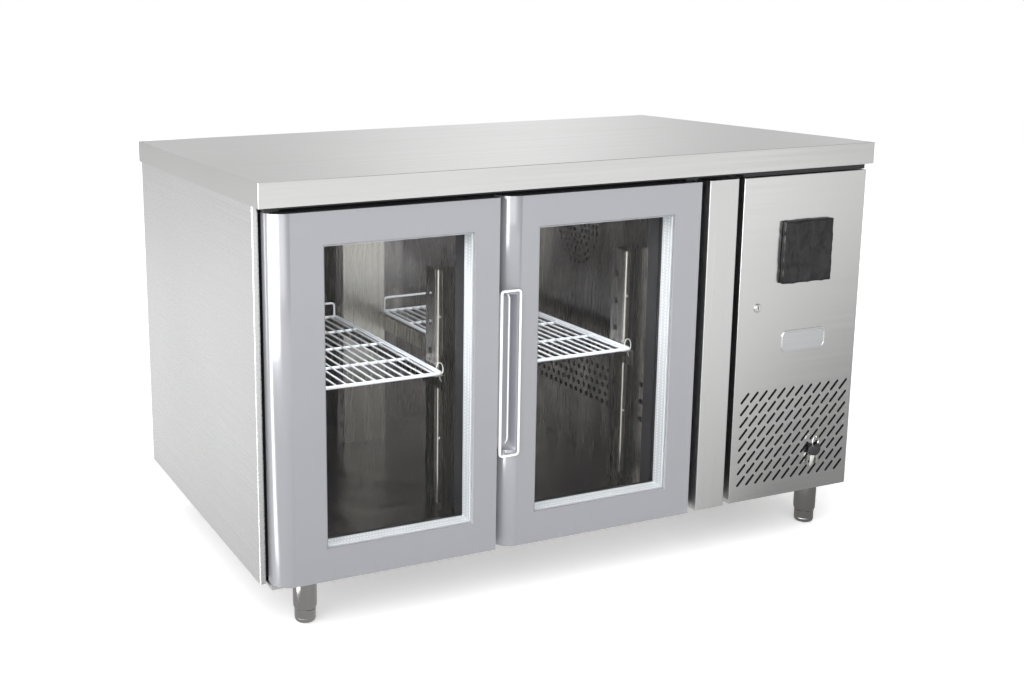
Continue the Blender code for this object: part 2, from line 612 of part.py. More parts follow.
def make_keys():
    """Two keys on a ring that hangs by a hook in one of the vent slots."""
    slot_x, slot_z = slot_centre(8, 3)
    radius, wire = 13.0, 1.2
    x, y, z = slot_x, 7.5, slot_z - 1.5 - radius      # the ring's centre
    top = z + radius
    swing = pivot("key_ring_hinge", x, PANEL_FRONT, top)
    hoop = bpy.data.curves.new("hoop", "CURVE")
    hoop.dimensions = "3D"
    hoop.bevel_depth = wire * MM
    hoop.bevel_resolution = 1
    spline = hoop.splines.new("POLY")
    count, turn = 20, math.radians(20)
    spline.points.add(count - 1)
    for i, point in enumerate(spline.points):
        a = 2 * math.pi * i / count
        across = radius * math.cos(a)
        spot = Vector((across * math.cos(turn), across * math.sin(turn), radius * math.sin(a))) * MM
        point.co = (*spot, 1)
    spline.use_cyclic_u = True
    shape = bpy.data.objects.new("hoop", hoop)
    CUTTERS.objects.link(shape)
    bpy.context.view_layer.update()
    mesh = bpy.data.meshes.new_from_object(shape.evaluated_get(bpy.context.evaluated_depsgraph_get()))
    bpy.data.objects.remove(shape, do_unlink=True)
    keys = finish_object("key_ring", mesh, "key_metal", place(x, y, z), swing)
    hook = (x - 1, x + 1)
    combine(keys, box("hook_arm", hook, (y - 1, PANEL_FRONT + 7), grown((top, top), 1)), "UNION")
    combine(keys, box("hook_tip", hook, (PANEL_FRONT + 5, PANEL_FRONT + 7), (top - 4, top)), "UNION")
    for number, shift in enumerate((-1, 1)):
        middle = (x + 4 * shift, y + 1.6 * shift, z - radius)
        for part, width, length, drop in (("head", 23, 21, 9), ("blade", 8, 34, 32)):
            plate = key_piece(f"key_{part}_{number}", width, length, drop, middle, -8 * shift)
            combine(keys, plate, "UNION")


def key_piece(name, width, length, drop, middle, lean):
    """A key's head or blade, hanging below the ring's lowest point and leaning sideways."""
    bm = bmesh.new()
    bmesh.ops.create_cube(bm, size=1.0)
    bmesh.ops.scale(bm, vec=Vector((width, 2, length)) * MM, verts=bm.verts)
    bmesh.ops.translate(bm, vec=Vector((0, 0, -drop)) * MM, verts=bm.verts)
    swing = Matrix.Rotation(math.radians(lean), 3, "Y")
    bmesh.ops.rotate(bm, verts=bm.verts, cent=(0, 0, 0), matrix=swing)
    mesh = bpy.data.meshes.new(name)
    bm.to_mesh(mesh)
    bm.free()
    return finish_object(name, mesh, None, place(*middle))


make_worktop()
make_side_panels()
make_insulated_body()
make_back_panel()
make_breaker_frame()
make_mullion_and_pillar()
make_uprights()
make_runners()
make_hinges()
make_legs()
make_cooling()
for name in DOORS:
    make_door(name)
make_shelf("left", SHELF_LEFT)
make_shelf("right", SHELF_LEFT + SHELF_PITCH)
make_service_panel()
make_keys()
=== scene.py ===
import math

import bmesh
import bpy
from mathutils import Matrix, Vector, noise


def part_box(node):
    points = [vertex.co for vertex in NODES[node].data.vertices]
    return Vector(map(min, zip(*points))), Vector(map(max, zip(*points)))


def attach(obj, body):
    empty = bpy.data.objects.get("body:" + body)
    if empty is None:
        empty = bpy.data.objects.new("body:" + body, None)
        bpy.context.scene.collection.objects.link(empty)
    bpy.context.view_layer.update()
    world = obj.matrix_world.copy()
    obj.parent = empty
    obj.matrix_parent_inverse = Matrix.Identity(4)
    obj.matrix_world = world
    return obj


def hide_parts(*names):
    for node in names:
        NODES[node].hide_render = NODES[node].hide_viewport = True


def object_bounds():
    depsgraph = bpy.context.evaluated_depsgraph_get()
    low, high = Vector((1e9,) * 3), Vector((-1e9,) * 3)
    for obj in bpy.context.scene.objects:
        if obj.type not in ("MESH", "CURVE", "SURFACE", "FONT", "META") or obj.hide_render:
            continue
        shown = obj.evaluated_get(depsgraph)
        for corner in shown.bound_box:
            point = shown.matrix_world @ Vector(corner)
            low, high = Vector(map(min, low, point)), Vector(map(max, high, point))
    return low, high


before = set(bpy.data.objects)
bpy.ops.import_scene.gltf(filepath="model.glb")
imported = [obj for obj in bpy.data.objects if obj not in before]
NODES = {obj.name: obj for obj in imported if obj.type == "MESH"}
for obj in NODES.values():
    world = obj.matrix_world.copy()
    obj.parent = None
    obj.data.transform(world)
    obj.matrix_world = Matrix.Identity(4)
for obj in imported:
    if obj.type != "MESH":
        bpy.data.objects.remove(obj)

MM = 0.001
CAD_LOW, CAD_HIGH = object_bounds()


def mm(x, y, z):
    """A point from millimetres left, front and floor of the cabinet."""
    return CAD_LOW + Vector((x, y, z)) * MM


def node_mm(name):
    """The spans (x, y, z) of a CAD node in those millimetres."""
    low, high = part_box(name)
    return [((low[i] - CAD_LOW[i]) / MM, (high[i] - CAD_LOW[i]) / MM) for i in range(3)]


# ---------------------------------------------------------------- materials

class Look:
    """A procedural material round one Principled shader."""

    def __init__(self, name, colour, roughness, metallic=0.0, **constants):
        self.material = bpy.data.materials.new(name)
        self.material.use_nodes = True
        self.tree = self.material.node_tree
        self.shader = self.tree.nodes["Principled BSDF"]
        self.colour, self.roughness = colour, roughness
        self.set("Base Color", (*colour, 1.0))
        self.set("Roughness", roughness)
        self.set("Metallic", metallic)
        for key, value in constants.items():
            self.set(key.replace("_", " ").title().replace("Ior", "IOR"), value)
        self.heights = []

    def set(self, socket, value):
        self.shader.inputs[socket].default_value = value

    def node(self, kind, inputs=(), **properties):
        made = self.tree.nodes.new(kind)
        for key, value in properties.items():
            setattr(made, key, value)
        for key, value in dict(inputs).items():
            if isinstance(value, bpy.types.NodeSocket):
                self.tree.links.new(value, made.inputs[key])
            else:
                made.inputs[key].default_value = value
        return made

    def where(self, scale=(1, 1, 1), output="Object"):
        coordinates = self.node("ShaderNodeTexCoord").outputs[output]
        return self.node("ShaderNodeMapping", {"Vector": coordinates, "Scale": scale}).outputs["Vector"]

    def noise(self, scale, detail=2.0, distortion=0.0):
        inputs = {"Vector": self.where(scale), "Scale": 1.0, "Detail": detail, "Distortion": distortion}
        return self.node("ShaderNodeTexNoise", inputs).outputs["Fac"]

    def spread(self, value, low, high, start=0.3, end=0.7):
        inputs = {"Value": value, "From Min": start, "From Max": end, "To Min": low, "To Max": high}
        return self.node("ShaderNodeMapRange", inputs).outputs["Result"]

    def math(self, operation, first, second=0.5, third=0.5):
        return self.node("ShaderNodeMath", {0: first, 1: second, 2: third}, operation=operation).outputs[0]

    def tint(self, value, darker, lighter, start=0.3, end=0.7):
        """Base colour between two shares of the material's colour."""
        self.blend(self.spread(value, 0.0, 1.0, start, end), [c * darker for c in self.colour],
                   [min(1.0, c * lighter) for c in self.colour])

    def blend(self, factor, first, second):
        mix = self.node("ShaderNodeMix", {"Factor": factor}, data_type="RGBA")
        for socket, colour in (("A_Color", first), ("B_Color", second)):
            found = next(s for s in mix.inputs if s.identifier == socket)
            if isinstance(colour, bpy.types.NodeSocket):
                self.tree.links.new(colour, found)
            else:
                found.default_value = (*colour, 1.0)
        result = next(s for s in mix.outputs if s.identifier == "Result_Color")
        self.tree.links.new(result, self.shader.inputs["Base Color"])
        return result

    def rough(self, value, by, start=0.3, end=0.7):
        self.tree.links.new(self.spread(value, self.roughness - by, self.roughness + by, start, end),
                            self.shader.inputs["Roughness"])

    def bump(self, height, distance, strength=1.0):
        inputs = {"Height": height, "Distance": distance, "Strength": strength}
        if self.heights:
            inputs["Normal"] = self.heights[-1]
        self.heights.append(self.node("ShaderNodeBump", inputs).outputs["Normal"])
        self.tree.links.new(self.heights[-1], self.shader.inputs["Normal"])


def brushed(name, colour, roughness, along, depth=0.000012, streak=0.05):
    """Brushed stainless: long fine scratches along one axis over slow cloudy changes."""
    look = Look(name, colour, roughness, 1.0)

    def grain(length, across):
        return [length if axis == along else across for axis in "XYZ"]

    fine = look.noise(grain(9.0, 1300.0), 2.0)
    coarse = look.noise(grain(2.0, 130.0), 3.0)
    cloud = look.noise((2.2, 2.2, 2.2), 1.0)
    both = look.math("MULTIPLY_ADD", coarse, 0.6, look.math("MULTIPLY", fine, 0.4))
    look.tint(look.math("MULTIPLY_ADD", cloud, 0.5, look.math("MULTIPLY", both, 0.5)), 1 - streak, 1 + streak)
    look.rough(both, 0.05)
    look.bump(both, depth)
    return look.material


def grained(name, colour, roughness, size, metallic=0.0, depth=0.00002, change=0.04, **constants):
    """Paint, lacquer or moulded plastic with an even fine texture."""
    look = Look(name, colour, roughness, metallic, **constants)
    scale = 1 / size
    fine = look.noise((scale, scale, scale), 2.0)
    cloud = look.noise((5, 5, 5), 2.0)
    look.tint(look.math("MULTIPLY_ADD", cloud, 0.6, look.math("MULTIPLY", fine, 0.4)), 1 - change, 1 + change)
    look.rough(fine, 0.04)
    look.bump(fine, depth)
    return look.material


def inner_steel(name, colour, roughness):
    """Bright rolled sheet: it mirrors its surroundings in slow upright waves."""
    look = Look(name, colour, roughness, 1.0)
    wave = look.noise((9.0, 9.0, 3.0), 1.5, 0.6)
    fine = look.noise((500.0, 500.0, 14.0), 2.0)
    cloud = look.noise((4.0, 4.0, 3.0), 2.0)
    # cloudy tone changes: partly the sheet's own uneven tone, partly a painted reflection of streaky
    # surroundings
    look.tint(cloud, 0.80, 1.2)
    look.rough(fine, 0.05)
    look.bump(wave, 0.006)
    look.bump(fine, 0.00002)
    return look.material


def clear_glass():
    look = Look("pane_glass", (0.985, 0.992, 0.988), 0.0, 0.0, transmission_weight=1.0, ior=1.14)
    look.tint(look.noise((6, 6, 6), 2.0), 0.985, 1.0)
    return look.material


def dotted_spacer(rows, pitch, radius):
    """Aluminium spacer bar with rows of small breather dots along it."""
    look = Look("spacer_bar", (0.60, 0.625, 0.65), 0.42, 0.1)
    point = look.node("ShaderNodeSeparateXYZ", {"Vector": look.where()})
    turned = look.node("ShaderNodeSeparateXYZ", {"Vector": look.where(output="Normal")})
    upright = look.math("GREATER_THAN", look.math("ABSOLUTE", turned.outputs["X"]), 0.5)
    along = look.node("ShaderNodeMix", {"Factor": upright, "A": point.outputs["X"], "B": point.outputs["Z"]})
    phase = look.math("FRACT", look.math("DIVIDE", along.outputs["Result"], pitch))
    run = look.math("MULTIPLY", look.math("SUBTRACT", phase, 0.5), pitch)
    masks = []
    for row in rows:
        off = look.math("SUBTRACT", point.outputs["Y"], row)
        distance = look.math("SQRT", look.math("MULTIPLY_ADD", off, off, look.math("MULTIPLY", run, run)))
        masks.append(look.spread(distance, 1.0, 0.0, radius * 0.7, radius * 1.3))
    dots = look.math("MAXIMUM", *masks)
    cloud = look.noise((40, 40, 40), 2.0)
    look.tint(cloud, 0.97, 1.03)
    base = look.blend(look.spread(cloud, 0.0, 1.0), [c * 0.97 for c in look.colour], look.colour)
    look.blend(dots, base, (0.95, 0.97, 0.98))
    look.bump(dots, 0.0002)
    return look.material


def creased_film():
    look = Look("black_film", (0.010, 0.010, 0.011), 0.20, 0.0, specular_ior_level=0.35)
    folds_with_painted_shading = look.noise((38, 38, 22), 3.0, 1.2)
    # the colour is lighter on the fold ridges and darker in their hollows: painted highlight and painted
    # shade on the creases
    look.tint(folds_with_painted_shading, 0.7, 1.8)
    look.rough(folds_with_painted_shading, 0.05)
    look.bump(folds_with_painted_shading, 0.0012)
    return look.material


def finned(name, colour):
    """Thin bright fin sheets packed side by side: the banded colour is darker between them, as painted shade
    in the gaps.
    """
    look = Look(name, colour, 0.42, 1.0)
    fins = look.node("ShaderNodeTexWave", {"Vector": look.where((1, 1, 1)), "Scale": 60.0, "Distortion": 0.2},
                     wave_type="BANDS", bands_direction="X").outputs["Fac"]
    # darker bands between the fin sheets: painted shade in the gaps
    look.tint(fins, 0.55, 1.2, 0.0, 1.0)
    look.bump(fins, 0.0006)
    return look.material


FRAME_GREY = (0.318, 0.321, 0.342)
M = {
    "worktop": brushed("worktop_steel", (0.62, 0.62, 0.615), 0.22, "X"),
    "side": brushed("side_steel", (0.66, 0.66, 0.66), 0.27, "Y"),
    "front": brushed("front_steel", (0.66, 0.66, 0.655), 0.22, "X"),
    "bright": brushed("bright_steel", (0.70, 0.70, 0.695), 0.18, "Z"),
    "pillar": brushed("pillar_steel", (0.70, 0.70, 0.695), 0.30, "Z"),
    "dull": brushed("back_steel", (0.50, 0.50, 0.50), 0.36, "Z"),
    "inner": inner_steel("inner_steel", (0.37, 0.352, 0.350), 0.24),
    "rack": brushed("rack_steel", (0.50, 0.48, 0.45), 0.26, "Z"),
    "foot": brushed("foot_steel", (0.40, 0.39, 0.38), 0.16, "Z"),
    "capping": brushed("capping_steel", (0.78, 0.74, 0.68), 0.24, "Z"),
    "frame": grained("door_lacquer", FRAME_GREY, 0.20, 0.0007, 0.3, 0.000005, 0.012, coat_weight=0.5,
                      coat_roughness=0.06),
    "cup": grained("pull_cup_plastic", (0.34, 0.345, 0.38), 0.38, 0.0010, 0.2, 0.00001, 0.03),
    "rim": grained("pull_rim_plastic", (0.88, 0.88, 0.885), 0.22, 0.0010, 0.0, 0.00001, 0.02,
                   coat_weight=0.3),
    "black": grained("black_plastic_skin", (0.022, 0.022, 0.025), 0.42, 0.0012, 0.0, 0.00004, 0.15),
    "rubber": grained("gasket_rubber", (0.028, 0.028, 0.03), 0.6, 0.0014, 0.0, 0.00006, 0.15),
    "wire": grained("wire_coating", (0.84, 0.86, 0.92), 0.30, 0.0020, 0.0, 0.00003, 0.04, coat_weight=0.25),
    "tie": grained("nylon_tie", (0.78, 0.80, 0.74), 0.40, 0.0012, 0.0, 0.00002, 0.05),
    "shell": grained("compressor_enamel", (0.022, 0.022, 0.026), 0.30, 0.0025, 0.0, 0.00006, 0.25,
                     coat_weight=0.4),
    "fan": grained("fan_plastic", (0.06, 0.06, 0.065), 0.45, 0.0015, 0.0, 0.00004, 0.12),
    "key": brushed("key_nickel", (0.74, 0.73, 0.70), 0.20, "Z"),
    "plate": brushed("plate_aluminium", (0.70, 0.71, 0.72), 0.30, "X"),
    "film": creased_film(),
    "glass": clear_glass(),
    "fins": finned("fin_aluminium", (0.50, 0.51, 0.52)),
}


# ---------------------------------------------------------------- mesh building

SQUARE = 0.99999          # largest part of the normal of a face square to an axis

def piece(name, source, look, body, replaces=(), sharp=32.0, smooth=True):
    """Makes a visible piece from a bmesh or a mesh and puts it on its body."""
    if isinstance(source, bmesh.types.BMesh):
        mesh = bpy.data.meshes.new(name)
        bmesh.ops.recalc_face_normals(source, faces=source.faces)
        source.to_mesh(mesh)
        source.free()
    else:
        mesh = source
    if smooth:
        mesh.shade_smooth()
        mesh.set_sharp_from_angle(angle=math.radians(sharp))
        for polygon in mesh.polygons:      # flat sides stay flat beside a rounded edge
            if max(abs(c) for c in polygon.normal) > SQUARE:
                polygon.use_smooth = False
    mesh.materials.clear()
    mesh.materials.append(M[look] if isinstance(look, str) else look)
    obj = bpy.data.objects.new(name, mesh)
    bpy.context.scene.collection.objects.link(obj)
    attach(obj, body)
    if replaces:
        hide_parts(*replaces)
    return obj


def block(x, y, z, bevel=0.0, segments=3, open_face=None):
    """A box between spans in millimetres, its edges rounded."""
    bm = bmesh.new()
    low, high = mm(x[0], y[0], z[0]), mm(x[1], y[1], z[1])
    bmesh.ops.create_cube(bm, size=1.0)
    bmesh.ops.scale(bm, vec=high - low, verts=bm.verts)
    bmesh.ops.translate(bm, vec=(low + high) / 2, verts=bm.verts)
    if open_face is not None:
        normal = Vector(open_face)
        bmesh.ops.delete(bm, geom=[f for f in bm.faces if f.normal.dot(normal) > 0.9], context="FACES_ONLY")
    if bevel:
        edges = [e for e in bm.edges if not e.is_boundary]
        bmesh.ops.bevel(bm, geom=edges, offset=bevel * MM, segments=segments, profile=0.5, affect="EDGES")
    return bm


def as_mesh(bm, name="shape"):
    mesh = bpy.data.meshes.new(name)
    bmesh.ops.recalc_face_normals(bm, faces=bm.faces)
    bm.to_mesh(mesh)
    bm.free()
    return mesh


def modified(mesh, *steps):
    """Runs modifiers on a mesh and returns the result. A step is (kind, {settings})."""
    obj = bpy.data.objects.new("working", mesh)
    bpy.context.scene.collection.objects.link(obj)
    helpers = []
    for kind, settings in steps:
        modifier = obj.modifiers.new(kind, kind)
        for key, value in settings.items():
            if isinstance(value, bpy.types.Mesh):
                value = bpy.data.objects.new("helper", value)
                bpy.context.scene.collection.objects.link(value)
                helpers.append(value)
            setattr(modifier, key, value)
    bpy.context.view_layer.update()
    result = bpy.data.meshes.new_from_object(obj.evaluated_get(bpy.context.evaluated_depsgraph_get()))
    for extra in (obj, *helpers):
        bpy.data.objects.remove(extra, do_unlink=True)
    return result


def minus(mesh, *cutters):
    """mesh with the cutter meshes taken away."""
    return modified(mesh, *[("BOOLEAN", {"operation": "DIFFERENCE", "solver": "EXACT", "object": c})
                            for c in cutters])


def merged(*sources):
    """Several bmeshes in one."""
    whole = bmesh.new()
    for source in sources:
        part = as_mesh(source)
        whole.from_mesh(part)
        bpy.data.meshes.remove(part)
    return whole


def rounded(points, radius, steps=4):
    """An open outline with its inner corners rounded."""
    made = [Vector(points[0])]
    for before, corner, after in zip(points, points[1:], points[2:]):
        before, corner, after = Vector(before), Vector(corner), Vector(after)
        a, b = (before - corner), (after - corner)
        cut = min(radius, a.length * 0.45, b.length * 0.45)
        start, end = corner + a.normalized() * cut, corner + b.normalized() * cut
        for i in range(steps + 1):
            t = i / steps
            made.append((1 - t) ** 2 * start + 2 * t * (1 - t) * corner + t * t * end)
    made.append(Vector(points[-1]))
    return made


def folded(points, thickness, span, radius=1.5):
    """Sheet metal: an outline in x and y with rounded folds, thickened to its left and extruded in z."""
    line = rounded(points, radius)
    offset = []
    for i, point in enumerate(line):
        before = (point - line[i - 1]) if i else (line[1] - point)
        after = (line[i + 1] - point) if i + 1 < len(line) else before
        side = [Vector((-v.y, v.x)).normalized() for v in (before, after)]
        middle = (side[0] + side[1]).normalized()
        offset.append(point + middle * (thickness / max(0.5, middle.dot(side[0]))))
    section = [tuple(p) for p in line] + [tuple(p) for p in reversed(offset)]
    bm = bmesh.new()
    rings = [[bm.verts.new(mm(x, y, z)) for x, y in section] for z in span]
    count, half = len(section), len(line)
    for i in range(count):
        j = (i + 1) % count
        bm.faces.new((rings[0][i], rings[0][j], rings[1][j], rings[1][i]))
    for ring in rings:
        for i in range(half - 1):
            bm.faces.new((ring[i], ring[i + 1], ring[count - 2 - i], ring[count - 1 - i]))
    return bm


def frame_sweep(profile, x, z):
    """A mitred frame: (inset, y) points of a closed profile carried round a rectangle."""
    bm = bmesh.new()
    loops = []
    for inset, y in profile:
        corners = ((x[0] + inset, z[0] + inset), (x[1] - inset, z[0] + inset),
                   (x[1] - inset, z[1] - inset), (x[0] + inset, z[1] - inset))
        loops.append([bm.verts.new(mm(a, y, b)) for a, b in corners])
    for first, second in zip(loops, loops[1:] + loops[:1]):
        for i in range(4):
            j = (i + 1) % 4
            bm.faces.new((first[i], first[j], second[j], second[i]))
    return bm


def tube(points, radius, sides=10, closed=False, flat=1.0):
    """A round wire through points, in millimetres."""
    bm = bmesh.new()
    path = [mm(*p) for p in points]
    count = len(path)
    normal, rings = None, []
    for i, p in enumerate(path):
        if closed:
            direction = path[(i + 1) % count] - path[i - 1]
        else:
            direction = path[min(i + 1, count - 1)] - path[max(i - 1, 0)]
        direction.normalize()
        if normal is None:
            helper = Vector((0, 0, 1)) if abs(direction.z) < 0.9 else Vector((1, 0, 0))
            normal = direction.cross(helper).normalized()
        normal = (normal - direction * normal.dot(direction)).normalized()
        other = direction.cross(normal)
        turn = [2 * math.pi * k / sides for k in range(sides)]
        rings.append([bm.verts.new(p + (normal * math.cos(a) + other * math.sin(a) * flat) * radius * MM)
                      for a in turn])
    pairs = list(zip(rings, rings[1:])) + ([(rings[-1], rings[0])] if closed else [])
    for first, second in pairs:
        for k in range(sides):
            m = (k + 1) % sides
            bm.faces.new((first[k], first[m], second[m], second[k]))
    if not closed:
        bm.faces.new(rings[0])
        bm.faces.new(rings[-1])
    return bm


def bent(points, radius, steps=5, closed=False):
    """A path in space with its corners rounded."""
    if closed:
        middle = [(a + b) / 2 for a, b in zip(points[0], points[-1])]
        path = rounded([middle, *points, middle], radius, steps)
        return [tuple(p) for p in path[:-1]]
    return [tuple(p) for p in rounded(points, radius, steps)]


def lathe(profile, centre, sides=48, axis="Z"):
    """A turned shape: (radius, height) points from one end of the axis to the other."""
    bm = bmesh.new()
    rows = []
    for radius, height in profile:
        if radius <= 0:
            rows.append([bm.verts.new((0, 0, height))])
        else:
            rows.append([bm.verts.new((radius * math.cos(2 * math.pi * k / sides),
                                       radius * math.sin(2 * math.pi * k / sides), height))
                         for k in range(sides)])
    for first, second in zip(rows, rows[1:]):
        for k in range(sides):
            m = (k + 1) % sides
            corners = [first[k % len(first)], first[m % len(first)],
                       second[m % len(second)], second[k % len(second)]]
            unique = list(dict.fromkeys(corners))
            if len(unique) > 2:
                bm.faces.new(unique)
    turn = {"X": Matrix.Rotation(math.pi / 2, 4, "Y"), "Y": Matrix.Rotation(math.pi / 2, 4, "X"),
            "Z": Matrix.Identity(4)}[axis]
    to_place = Matrix.Translation(mm(*centre)) @ turn @ Matrix.Scale(MM, 4)
    bmesh.ops.transform(bm, matrix=to_place, verts=bm.verts)
    return bm


def grow(span, by):
    return span[0] - by, span[1] + by


# ---------------------------------------------------------------- cabinet

SHEET = 1.5


def make_worktop():
    x, y, z = node_mm("worktop")
    shell = as_mesh(block(x, y, z, 1.0, 3, open_face=(0, 0, -1)))
    top = modified(shell, ("SOLIDIFY", {"thickness": SHEET * MM, "offset": -1.0, "use_even_offset": True}))
    piece("worktop_sheet", top, "worktop", "cabinet", ["worktop"])


def make_side_panels():
    fold, lip = 12.0, 10.0
    for side, mirror in (("left", 1), ("right", -1)):
        x, y, z = node_mm(f"{side}_side_panel")
        edge = x[0] if mirror > 0 else x[1]
        inner = edge + mirror * fold
        outline = [(edge, y[1]), (edge, y[0]), (inner, y[0]), (inner, y[0] + lip)]
        if mirror < 0:
            outline.reverse()
        piece(f"{side}_side_sheet", folded(outline, SHEET, z, 3.2), "side", "cabinet",
              [f"{side}_side_panel"])


def make_pillar():
    x, y, z = node_mm("pillar_cover")
    outline = [(x[0], y[1]), (x[0], y[0]), (x[1], y[0]), (x[1], y[1])]
    piece("pillar_sheet", folded(outline, SHEET, z, 1.8), "pillar", "cabinet",
          ["pillar_cover"])


def make_legs():
    for corner in ("front_left", "front_right", "rear_left", "rear_right"):
        x, y, z = node_mm(f"leg_{corner}")
        centre, radius = ((x[0] + x[1]) / 2, (y[0] + y[1]) / 2), (x[1] - x[0]) / 2
        bottom, top = z
        bore = radius - 4.5
        tube_profile = [(bore, top), (radius - 0.6, top), (radius, top - 0.8), (radius, bottom + 10),
                        (radius - 0.3, bottom + 5), (radius - 1.4, bottom + 1.4),
                        (radius - 2.2, bottom + 0.4), (bore, bottom)]
        piece(f"leg_tube_{corner}", lathe([*tube_profile, tube_profile[0]], (*centre, 0)), "foot", "cabinet",
              [f"leg_{corner}"])
        foot_profile = [(0, 84.0), (17.0, 84.0), (18.0, 83.0), (18.0, 27.6), (20.0, 27.5),
                        (20.5, 27.0), (20.5, 11.5), (20.2, 10.9), (20.2, 10.4), (20.5, 9.8),
                        (20.3, 7.0), (19.2, 3.6), (17.0, 1.4), (14.0, 0.2), (0, 0.0)]
        piece(f"foot_turned_{corner}", lathe(foot_profile, (*centre, 0)), "foot", f"foot_{corner}",
              [f"foot_{corner}"])


def make_uprights_trim():
    """A bright capping channel with two screws on the face of each visible upright."""
    for side, x in (("centre", node_mm("upright_centre_front")[0][0] + 0.6),
                    ("right", node_mm("upright_right_front")[0][0] + 0.2)):
        _, y, z = node_mm(f"upright_{side}_front")
        wide, deep, wall = 12.4, 8.0, 1.0
        face = y[0] - 0.3
        outline = [(x, face), (x, face - deep), (x + wide, face - deep), (x + wide, face)]
        piece(f"upright_capping_{side}", folded(outline, wall, (z[0] + 20, z[1] - 2), 3.0),
              "capping", "cabinet")
        for number, height in enumerate((296.0, 544.0)):
            head = [(0, 2.2), (1.6, 2.0), (2.8, 1.2), (3.2, 0.2), (3.2, 0), (0, 0)]
            seat = (x + wide / 2, face - deep - 0.05, height)
            piece(f"capping_screw_{side}_{number}", lathe(head, seat, 20, "Y"),
                  "bright", "cabinet")


def make_evaporator_cover():
    x, y, z = node_mm("evaporator_cover")
    sheet = as_mesh(block(x, y, z))
    cuts = []
    pitch, radius = 21.0, 6.0
    for row in range(5):
        for column in range(26):
            centre = (x[0], 120 + pitch * (column + 0.5 * (row % 2)), 268 + 19.0 * row)
            cuts.append(lathe([(0, -9), (radius, -9), (radius, 9), (0, 9)], centre, 14, "X"))
    fan_low, fan_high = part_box("evaporator_fan")
    middle = ((fan_low + fan_high) / 2 - CAD_LOW) / MM
    for ring in range(1, 6):
        count = 6 * ring
        for k in range(count):
            a = 2 * math.pi * k / count
            centre = (x[0], middle.y + 14.5 * ring * math.cos(a), middle.z + 14.5 * ring * math.sin(a))
            cuts.append(lathe([(0, -9), (5.6, -9), (5.6, 9), (0, 9)], centre, 12, "X"))
    piece("evaporator_guard", minus(sheet, as_mesh(merged(*cuts))), "inner", "cabinet",
          ["evaporator_cover"])


# ---------------------------------------------------------------- doors

NOSE = 38.0
CHAMFER = 2.4
PULL_Z = (288.0, 617.0)
PANE_OVERLAP = 5.7        # how far a pane reaches behind the frame


def window_cutter(window, window_z, front, back):
    """The window opening: its front edge is chamfered, and the glass rebate is cut behind it."""
    bm = bmesh.new()
    rebate, glass_depth, ahead = 6.0, 2.7, 6.0
    stations = [(-ahead, CHAMFER + ahead), (0.0, CHAMFER), (CHAMFER * 0.75, 0.0),
                (glass_depth, 0.0), (glass_depth, -rebate), (back, -rebate)]
    rings = []
    for depth, out in stations:
        x, z = grow(window, abs(out)), grow(window_z, abs(out))
        rings.append([bm.verts.new(mm(a, front + depth, b))
                      for a, b in ((x[0], z[0]), (x[1], z[0]), (x[1], z[1]), (x[0], z[1]))])
    for first, second in zip(rings, rings[1:]):
        for i in range(4):
            j = (i + 1) % 4
            bm.faces.new((first[i], first[j], second[j], second[i]))
    bm.faces.new(rings[0])
    bm.faces.new(rings[-1])
    return as_mesh(bm)


